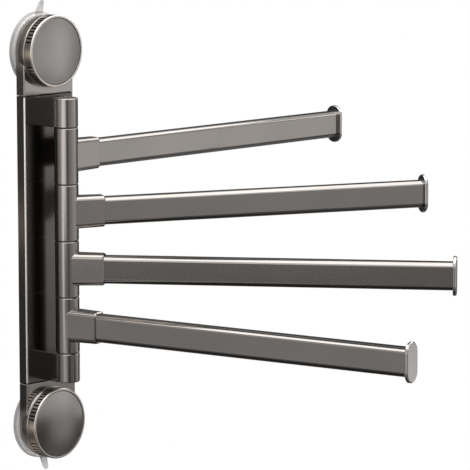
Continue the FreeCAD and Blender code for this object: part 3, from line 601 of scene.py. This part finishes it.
# The hole round the stud's neck, and how far from the wall the cup starts to follow the stud.
NECK_RADIUS = 0.0053
# How far a pull tab runs into the lip, and how much it widens there.
TAB_OVERLAP = 0.0025
TAB_FLARE = 0.10
# Steps of the hollow's curve and along a tab, and the places across a tab from edge to edge.
HOLLOW_STEPS = 12
TAB_STEPS = 18
TAB_COLUMNS = (-1.0, -0.6, 0.0, 0.6, 1.0)


def cup_profile(sizes, radius, boss_front):
    """Closed section of the cup: boss, skirt, bead, lip, and back over the hollow."""
    lip = sizes.lip
    bead = radius - sizes.bead_inset
    front = rounded_profile([
        (NECK_RADIUS, -boss_front, 0.0),
        (sizes.boss_radius, -boss_front, 0.0012),
        (sizes.boss_radius + 0.0015, -sizes.shoulder, 0.002),
        (radius * WELL_SHARE, -UNDER_DISH, 0.003),
        (bead - sizes.bead_width, -UNDER_DISH * 0.90, 0.0008),
        (bead, -UNDER_DISH * 0.88, 0.0009),
        (bead + sizes.bead_width * 0.6, -lip * 1.1, 0.0010),
        (radius - 0.0005, -lip, 0.0010),
        (radius, -lip * 0.6, 0.0008),
        (radius, 0.0, 0.0002),
        (radius - sizes.contact, 0.0, 0.0),
    ])
    back = []
    rim = radius - sizes.contact
    for step in range(1, HOLLOW_STEPS + 1):
        share = step / HOLLOW_STEPS
        back.append(Vector((rim * (1.0 - share), -sizes.hollow * (1.0 - (1.0 - share) ** 2))))
    return front + back + [Vector((0.0, -boss_front))]


def add_pull_tab(mesh, sizes, radius, reach):
    """A thin tongue that tapers to a round tip and leans off the wall, outside the lip at +Z."""
    half_thick = sizes.tab_thickness / 2
    root_z = radius - TAB_OVERLAP
    rows = []
    for step in range(TAB_STEPS + 1):
        share = step / TAB_STEPS
        z = root_z + (reach - root_z) * share
        width = sizes.tab_root + (sizes.tab_tip - sizes.tab_root) * min(1.0, share * 1.05)
        left = reach - z
        tip = sizes.tab_tip / 2
        if left < tip:
            width *= math.sqrt(max(0.0, 1.0 - ((tip - left) / tip) ** 2))
        flare = TAB_FLARE * (1.0 - share) ** 4 * sizes.tab_root
        half = width / 2 + flare
        lean = math.tan(sizes.tab_lean) * (reach - root_z) * share ** 1.25
        y = -half_thick * 0.4 - sizes.lip - lean
        row = []
        for across in TAB_COLUMNS:
            thick = half_thick * (1.0 - 0.7 * abs(across) ** 4)
            row.append((across * half, y, z, thick))
        rows.append(row)
    front = [[mesh.verts.new((x, y - t, z)) for x, y, z, t in row] for row in rows]
    back = [[mesh.verts.new((x, y + t, z)) for x, y, z, t in row] for row in rows]
    for grid, flip in ((front, False), (back, True)):
        for lower, upper in zip(grid, grid[1:]):
            for k in range(len(TAB_COLUMNS) - 1):
                quad = [lower[k], lower[k + 1], upper[k + 1], upper[k]]
                mesh.faces.new(quad[::-1] if flip else quad)
    rim_front, rim_back = (
        grid[0] + [row[-1] for row in grid[1:]] + grid[-1][-2::-1] + [row[0] for row in grid[-2:0:-1]]
        for grid in (front, back)
    )
    for k in range(len(rim_front)):
        after = (k + 1) % len(rim_front)
        mesh.faces.new([rim_front[k], rim_back[k], rim_back[after], rim_front[after]])


class RACK_OT_suction_cups(bpy.types.Operator):
    """Make the two clear suction cups with their pull tabs"""

    bl_idname = "towel_rack.suction_cups"
    bl_label = "Suction Cups"

    def execute(self, context):
        sizes = context.scene.rack_cup
        colour = context.scene.rack_finish.cup_colour
        for end in ENDS:
            low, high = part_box(f"{end}_suction_cup")
            stud_low, stud_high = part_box(f"{end}_stud")
            centre_z = (stud_low.z + stud_high.z) / 2
            radius = high.x
            reach = max(abs(high.z - centre_z), abs(low.z - centre_z))
            material = clear_soft_plastic(f"{end}_cup_plastic", colour, centre_z, radius)
            mesh = lathe(cup_profile(sizes, radius, boss_front=-low.y))
            add_pull_tab(mesh, sizes, radius, reach)
            bmesh.ops.recalc_face_normals(mesh, faces=mesh.faces)
            piece = new_piece(f"{end}_clear_cup", mesh, material)
            shade_by_angle(piece, degrees=50)
            if end == "lower":
                piece.data.transform(Matrix.Rotation(math.pi, 4, "Y"))
            piece.data.transform(Matrix.Translation((0.0, 0.0, centre_z)))
            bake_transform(piece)
            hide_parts(f"{end}_suction_cup")
        return {"FINISHED"}


# ---- finishes on the frame's own pieces --------------------------------------------------
class RACK_OT_rail(bpy.types.Operator):
    """Finish the wall rail and the two ears"""

    bl_idname = "towel_rack.rail"
    bl_label = "Rail and Ears"

    def execute(self, context):
        finish = context.scene.rack_finish
        low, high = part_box("back_rail")
        # A strong painted highlight along the rail's edges, nine times its colour.
        rail = brushed(
            "rail_anodised", finish.rail_colour, finish.rail_roughness, 0.0, (1.0, 1.0, LINE_STRETCH),
            rounding=0.0011, highlight_strength=9.0, rail=(high.x, low.y, high.z),
        )
        paint("back_rail", rail)
        cast = plated("cast_plated", finish.cast_colour, finish.cast_roughness)
        plug = plated("plug_plated", shaded(finish.cast_colour, 0.8), finish.satin)
        for end in ENDS:
            paint(f"{end}_ear", cast)
            paint(f"{end}_ear_plug", plug)
        return {"FINISHED"}


class RACK_OT_arms(bpy.types.Operator):
    """Finish the four swinging arms: hubs, tubes and end caps"""

    bl_idname = "towel_rack.arms"
    bl_label = "Arms"

    def execute(self, context):
        finish = context.scene.rack_finish
        hub = plated("hub_plated", finish.cast_colour, finish.cast_roughness)
        # A painted highlight along the caps' edges.
        cap = plated(
            "cap_plated", finish.cap_colour, finish.gloss, rounding=0.00045, highlight_strength=2.0, samples=16,
        )
        for number in ARMS:
            low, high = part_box(f"arm_tube_{number}")
            axis_low, axis_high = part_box(f"swivel_bush_{number}")
            yaw = math.atan2(low.y - (axis_low.y + axis_high.y) / 2, high.x)
            tube = brushed(
                f"tube_anodised_{number}", finish.tube_colour, finish.tube_roughness,
                yaw, (LINE_STRETCH, 1.0, 1.0),
                tube=((low.z + high.z) / 2, finish.tube_flat / 2, (high.z - low.z) / 2),
            )
            paint(f"swivel_hub_{number}", hub)
            paint(f"arm_tube_{number}", tube)
            paint(f"end_cap_{number}", cap)
        return {"FINISHED"}


class RACK_OT_knobs(bpy.types.Operator):
    """Finish the end housings, the twist-lock knobs and their faces"""

    bl_idname = "towel_rack.knobs"
    bl_label = "Housings and Knobs"

    def execute(self, context):
        finish = context.scene.rack_finish
        brass = plated("insert_brass", finish.brass_colour, finish.brass_roughness)
        for end in ENDS:
            low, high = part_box(f"{end}_knob_face")
            centre_z = (low.z + high.z) / 2
            face = turned_satin(
                f"{end}_face_satin", finish.face_colour, finish.face_roughness, centre_z,
            )
            # A painted highlight along the housing's edges.
            housing = plated(
                f"{end}_housing_plated", finish.moulded_colour, finish.gloss,
                rounding=0.0009, highlight_strength=3.0,
                satin=(centre_z, finish.satin_reach, finish.satin - finish.gloss),
            )
            low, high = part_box(f"{end}_knob")
            knob = knob_plated(
                f"{end}_knob_plated", finish.moulded_colour, finish.satin,
                (low.z + high.z) / 2, high.x, low.y,
            )
            paint(f"{end}_housing", housing)
            paint(f"{end}_knob", knob)
            paint(f"{end}_knob_face", face)
            paint(f"{end}_knob_insert", brass)
        return {"FINISHED"}


class RACK_OT_fasteners(bpy.types.Operator):
    """Finish the rod, nut, screws and studs, and the nylon washers and bushes"""

    bl_idname = "towel_rack.fasteners"
    bl_label = "Rod, Screws and Washers"

    def execute(self, context):
        finish = context.scene.rack_finish
        steel = plated("zinc_plated_steel", finish.steel_colour, finish.steel_roughness)
        black = nylon("black_nylon", finish.nylon_colour)
        for node in ("ear_screws", "tongue_screws", "pivot_rod", "pivot_nut"):
            paint(node, steel)
        for number in ARMS:
            paint(f"tube_screw_{number}", steel)
            paint(f"swivel_bush_{number}", black)
        for number in range(1, len(ARMS) + 2):
            paint(f"friction_washer_{number}", black)
        for end in ENDS:
            paint(f"{end}_stud", steel)
            paint(f"{end}_thrust_washer", black)
        return {"FINISHED"}


# ---- studio ------------------------------------------------------------------------------
# The cards are seen only in reflections. Brightness of their ring: (degrees from +X, grey).
RING_STOPS = (
    (0, 0.08), (30, 0.08), (60, 0.25), (90, 0.25), (108, 0.05), (118, 0.08), (128, 0.14),
    (140, 0.14), (147, 0.40), (155, 0.48), (167, 0.52), (177, 0.93), (187, 1.85), (198, 1.95),
    (217, 1.6), (227, 0.45), (237, 0.16), (247, 0.26), (257, 0.47), (264, 0.52), (276, 0.55),
    (289, 0.75), (299, 0.75), (306, 0.85), (312, 1.02), (320, 1.0), (328, 0.56), (336, 0.38),
    (349, 0.36), (354, 0.08),
)
# The same from below the rack upward: (height in metres, share).
HEIGHT_STOPS = (
    (-1.1, 0.20), (-0.75, 0.24), (-0.5, 0.45), (-0.41, 0.64), (-0.3, 0.9), (-0.2, 1.0), (0.25, 1.0),
    (0.5, 0.7), (1.2, 0.5),
)
# The same for the card above the rack, round the Z axis.
ABOVE_STOPS = ((0, 3.4), (8, 3.4), (20, 0.2), (82, 0.2), (98, 3.4))
# Smaller cards just inside the ring: (degrees from, to, height from, to, grey).
RING_PATCHES = {
    "card_third_arm": (200.0, 240.0, -0.41, -0.245, 0.27),
    "card_fourth_arm": (152.0, 183.0, -0.54, -0.37, 0.50),
    "card_fourth_arm_top": (150.0, 190.0, -0.08, 1.1, 0.75),
    "card_arm_tops": (195.0, 282.0, 0.45, 1.15, 1.5),
    "card_fourth_cap": (325.0, 342.0, -0.50, -0.34, 0.85),
    "card_first_arm_top": (326.0, 372.0, 0.68, 1.18, 3.2),
    "card_first_cap": (121.0, 134.0, -0.40, -0.05, 0.03),
    "card_second_cap": (62.0, 100.0, -0.43, -0.10, 0.04),
    "card_lower_face": (309.0, 324.0, -0.80, -0.52, 0.50),
    "card_lower_face_left": (284.0, 304.0, -0.98, -0.42, 0.08),
    "card_lower_face_right": (331.0, 352.0, -0.98, -0.52, 0.08),
    "card_right_side": (5.0, 100.0, -0.85, -0.46, 0.60),
}
RING_RADIUS, PATCH_RADIUS, ABOVE_RADIUS, FLOOR_RADIUS = 1.8, 1.77, 1.35, 1.4
# The card below the rack: half its width and depth, then grey in the middle and at the edge.
BELOW_CARD = (1.5, 1.5, 0.04, 0.25)
# Small upright cards: half width, half height, grey in the middle and at the edge.
# Each knob has its own, left of the cup and behind the wall plane, measured from the knob's axis.
KNOB_CARD = (0.0160, 0.026, 2.7, 0.05)
KNOB_CARD_OFFSET = Vector((-0.0912, 0.0185, -0.0107))
KNOB_CARD_TURN = math.radians(47.8)
# The others stand farther behind the wall plane, each at its place.
WALL_CARDS = {
    "card_over_upper_knob": ((-0.075, 0.12, 0.33), (0.19, 0.13, 0.30, 0.12)),
    "card_between_knobs": ((-0.045, 0.12, -0.01), (0.13, 0.06, 1.3, 0.1)),
    "card_under_lower_knob": ((-0.045, 0.12, -0.345), (0.13, 0.06, 1.0, 0.1)),
}
# Soft lamps: (place, point it looks at, width, height, power in watts).
SOFTBOXES = {
    "overhead_softbox": ((0.1, -0.2, 1.6), (0.1, -0.2, 0.0), 1.3, 1.3, 22.0),
    "front_softbox": ((1.2, -1.9, 0.9), (0.1, -0.1, 0.0), 0.9, 1.2, 14.0),
}
# Where the floor or a card starts to fade, as a share of half its width.
FADE_START = 0.35
# The even light from all round, and the width of the camera's sensor in millimetres.
ROOM_LIGHT = 0.5
SENSOR_WIDTH = 36.0


def stage_mesh(name, mesh, material):
    """A stage object that lights the scene by reflection only."""
    card = new_piece(name, mesh, material)
    card.visible_camera = False
    card.visible_diffuse = False
    card.visible_transmission = False
    card.visible_shadow = False
    card.visible_volume_scatter = False
    return card


def glowing_material(name):
    """An empty card material: (material, tree, emission)."""
    material = bpy.data.materials.new(name)
    material.use_nodes = True
    tree = material.node_tree
    tree.nodes.clear()
    output = tree.nodes.new("ShaderNodeOutputMaterial")
    glow = tree.nodes.new("ShaderNodeEmission")
    tree.links.new(glow.outputs["Emission"], output.inputs["Surface"])
    return material, tree, glow


def even_card(name, grey):
    """A card of one grey."""
    material, _, glow = glowing_material(name)
    glow.inputs["Color"].default_value = (grey, grey, grey, 1.0)
    glow.inputs["Strength"].default_value = 1.0
    return material


def grey_ramp(tree, factor, stops):
    """A grey that follows (position, level) stops."""
    return ramped(tree, factor, [(position, (level, level, level)) for position, level in stops])


def ring_card(name, ring_stops, height_stops):
    """The card ring's greys: they change round the Z axis and with height."""
    material, tree, glow = glowing_material(name)
    radial = tree.nodes.new("ShaderNodeTexGradient")
    radial.gradient_type = "RADIAL"
    tree.links.new(mapped(tree, rotation=(0.0, 0.0, math.pi)), radial.inputs["Vector"])
    brightest = max(level for _, level in ring_stops)
    turns = [(degrees / 360.0, level / brightest) for degrees, level in ring_stops]
    bottom, top = height_stops[0][0], height_stops[-1][0]
    rises = [((z - bottom) / (top - bottom), share) for z, share in height_stops]
    upward = ranged(tree, split(tree, object_place(tree))[2], bottom, top)
    greys = vector_maths(
        tree, "MULTIPLY",
        grey_ramp(tree, radial.outputs["Fac"], turns),
        grey_ramp(tree, upward, rises),
    )
    tree.links.new(greys, glow.inputs["Color"])
    glow.inputs["Strength"].default_value = brightest
    return material


def fading(tree, half_width, half_height, low=0.0, high=1.0):
    """A number that goes softly from low round an object's middle to high at its edges."""
    reach = vector_maths(tree, "LENGTH", mapped(tree, scale=(1.0 / half_width, 1.0 / half_height, 0.0)))
    return ranged(tree, reach, FADE_START, 1.0, low, high, soft=True)


def fading_card(name, half_width, half_height, grey, edge_grey, tint):
    """A card that goes from one grey in the middle to another at its edges."""
    material, tree, glow = glowing_material(name)
    glow.inputs["Color"].default_value = (*tint, 1.0)
    level = fading(tree, half_width, half_height, grey, edge_grey)
    tree.links.new(level, glow.inputs["Strength"])
    return material


def upright_card(name, place, turned, half_width, half_height, grey, edge_grey):
    """A small warm card at a place, turned about Z, that shows only in reflections."""
    mesh = bmesh.new()
    corners = ((-1.0, -1.0), (1.0, -1.0), (1.0, 1.0), (-1.0, 1.0))
    mesh.faces.new([mesh.verts.new((half_width * x, half_height * y, 0.0)) for x, y in corners])
    card = stage_mesh(name, mesh, fading_card(name, half_width, half_height, grey, edge_grey, WARM))
    card.location = place
    card.rotation_euler = (math.pi / 2, 0.0, turned)


def ring_wall(radius, low, high, first=0.0, last=360.0, steps=96):
    """An open upright ring, or the part of it between two angles in degrees."""
    mesh = bmesh.new()
    rows = []
    for z in (low, high):
        row = []
        for k in range(steps + 1):
            angle = math.radians(first + (last - first) * k / steps)
            row.append(mesh.verts.new((radius * math.cos(angle), radius * math.sin(angle), z)))
        rows.append(row)
    for k in range(steps):
        mesh.faces.new([rows[0][k], rows[0][k + 1], rows[1][k + 1], rows[1][k]])
    return mesh


def disc(radius, z, turns=96):
    """A flat round plate."""
    mesh = bmesh.new()
    angles = [2 * math.pi * k / turns for k in range(turns)]
    mesh.faces.new([mesh.verts.new((radius * math.cos(a), radius * math.sin(a), z)) for a in angles])
    return mesh


def softbox(name, place, aim, width, height, power):
    """A soft rectangular lamp that looks at a point and isn't seen in reflections."""
    data = bpy.data.lights.new(name, "AREA")
    data.shape = "RECTANGLE"
    data.size = width
    data.size_y = height
    data.energy = power
    lamp = bpy.data.objects.new(name, data)
    lamp.location = place
    lamp.rotation_mode = "QUATERNION"
    lamp.rotation_quaternion = (Vector(aim) - Vector(place)).to_track_quat("-Z", "Y")
    lamp.visible_glossy = False
    bpy.context.scene.collection.objects.link(lamp)


def white_world():
    """White to the eye, in gloss and through clear plastic, and a soft even light on the rack."""
    world = bpy.data.worlds.new("studio_white")
    bpy.context.scene.world = world
    world.use_nodes = True
    tree = world.node_tree
    tree.nodes.clear()
    output = tree.nodes.new("ShaderNodeOutputWorld")
    mix = tree.nodes.new("ShaderNodeMixShader")
    for strength, socket in ((ROOM_LIGHT, 1), (1.0, 2)):
        background = tree.nodes.new("ShaderNodeBackground")
        background.inputs["Color"].default_value = (*WHITE, 1.0)
        background.inputs["Strength"].default_value = strength
        tree.links.new(background.outputs["Background"], mix.inputs[socket])
    path = tree.nodes.new("ShaderNodeLightPath")
    seen = arithmetic(tree, "MAXIMUM", path.outputs["Is Camera Ray"], path.outputs["Is Glossy Ray"])
    seen = arithmetic(tree, "MAXIMUM", seen, path.outputs["Is Transmission Ray"])
    tree.links.new(seen, mix.inputs["Fac"])
    tree.links.new(mix.outputs["Shader"], output.inputs["Surface"])


def floor_material(colour, radius):
    """Pale matt floor that fades out towards its edge."""
    material, tree, shader = new_material("pale_floor")
    shader.inputs["Roughness"].default_value = 0.9
    shader.inputs["Base Color"].default_value = (*colour, 1.0)
    output = next(node for node in tree.nodes if node.type == "OUTPUT_MATERIAL")
    clear = tree.nodes.new("ShaderNodeBsdfTransparent")
    mix = tree.nodes.new("ShaderNodeMixShader")
    tree.links.new(fading(tree, radius, radius), mix.inputs["Fac"])
    tree.links.new(shader.outputs["BSDF"], mix.inputs[1])
    tree.links.new(clear.outputs["BSDF"], mix.inputs[2])
    tree.links.new(mix.outputs["Shader"], output.inputs["Surface"])
    return material


def studio_camera(scene, settings):
    """The scene's camera, turned and raised round the rack as the settings say."""
    turn, rise = settings.azimuth, settings.elevation
    back = Vector((math.sin(turn) * math.cos(rise), -math.cos(turn) * math.cos(rise), math.sin(rise)))
    right = Vector((math.cos(turn), math.sin(turn), 0.0))
    aim = right * settings.aim_right + Vector((0.0, 0.0, settings.aim_up))
    data = bpy.data.cameras.new("studio_camera")
    data.sensor_width = SENSOR_WIDTH
    data.lens = settings.focal_ratio * data.sensor_width
    data.clip_start, data.clip_end = 0.05, 50.0
    camera = bpy.data.objects.new("studio_camera", data)
    camera.location = aim + back * settings.distance
    camera.rotation_mode = "QUATERNION"
    camera.rotation_quaternion = (-back).to_track_quat("-Z", "Y")
    scene.collection.objects.link(camera)
    scene.camera = camera


class RACK_OT_studio(bpy.types.Operator):
    """Set the camera, the soft lights, the reflection cards and the pale floor"""

    bl_idname = "towel_rack.studio"
    bl_label = "Studio"

    def execute(self, context):
        scene = context.scene
        settings = scene.rack_studio
        scene.view_settings.view_transform = "Standard"
        studio_camera(scene, settings)
        white_world()
        floor_mesh = disc(FLOOR_RADIUS, CAD_LOW.z - settings.floor_drop)
        floor = new_piece("floor", floor_mesh, floor_material(settings.floor_colour, FLOOR_RADIUS))
        floor.visible_glossy = False
        low, high = HEIGHT_STOPS[0][0], HEIGHT_STOPS[-1][0]
        greys = ring_card("card_greys", RING_STOPS, HEIGHT_STOPS)
        stage_mesh("card_ring", ring_wall(RING_RADIUS, low, high), greys)
        for name, (first, last, bottom, top, grey) in RING_PATCHES.items():
            patch = ring_wall(PATCH_RADIUS, bottom, top, first, last, steps=12)
            stage_mesh(name, patch, even_card(name, grey))
        stage_mesh("card_below", disc(RING_RADIUS, low), fading_card("card_dark", *BELOW_CARD, WHITE))
        same_height = ((high - 0.1, 1.0), (high + 0.1, 1.0))
        bright = ring_card("card_bright", ABOVE_STOPS, same_height)
        stage_mesh("card_above", disc(ABOVE_RADIUS, high), bright)
        for end in ENDS:
            knob_low, knob_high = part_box(f"{end}_knob")
            place = KNOB_CARD_OFFSET + Vector((0.0, 0.0, (knob_low.z + knob_high.z) / 2))
            upright_card(f"card_{end}_knob", place, KNOB_CARD_TURN, *KNOB_CARD)
        for name, (place, sizes_and_greys) in WALL_CARDS.items():
            upright_card(name, place, 0.0, *sizes_and_greys)
        for name, lamp in SOFTBOXES.items():
            softbox(name, *lamp)
        return {"FINISHED"}


# ---- panel and registration --------------------------------------------------------------
OPERATORS = (
    RACK_OT_rail, RACK_OT_arms, RACK_OT_knobs, RACK_OT_fasteners, RACK_OT_suction_cups, RACK_OT_studio,
)
GROUPS = {"rack_finish": RackFinish, "rack_cup": CupSizes, "rack_studio": StudioSettings}


class RACK_PT_panel(bpy.types.Panel):
    """Sizes, colours and pieces of the towel rack"""

    bl_idname = "RACK_PT_panel"
    bl_label = "Towel Rack"
    bl_space_type = "VIEW_3D"
    bl_region_type = "UI"
    bl_category = "Towel Rack"

    def draw(self, context):
        for name, group in GROUPS.items():
            box = self.layout.box()
            for key in group.__annotations__:
                box.prop(getattr(context.scene, name), key)
        for operator in OPERATORS:
            self.layout.operator(operator.bl_idname)


def register():
    for cls in (*GROUPS.values(), *OPERATORS, RACK_PT_panel):
        bpy.utils.register_class(cls)
    for name, group in GROUPS.items():
        setattr(bpy.types.Scene, name, bpy.props.PointerProperty(type=group))


def unregister():
    for name in GROUPS:
        delattr(bpy.types.Scene, name)
    for cls in (RACK_PT_panel, *reversed(OPERATORS), *reversed(tuple(GROUPS.values()))):
        bpy.utils.unregister_class(cls)


def main():
    """Make the whole rack and its studio."""
    register()
    bpy.ops.towel_rack.studio()
    bpy.ops.towel_rack.rail()
    bpy.ops.towel_rack.arms()
    bpy.ops.towel_rack.knobs()
    bpy.ops.towel_rack.fasteners()
    bpy.ops.towel_rack.suction_cups()


if __name__ == "__main__":
    main()
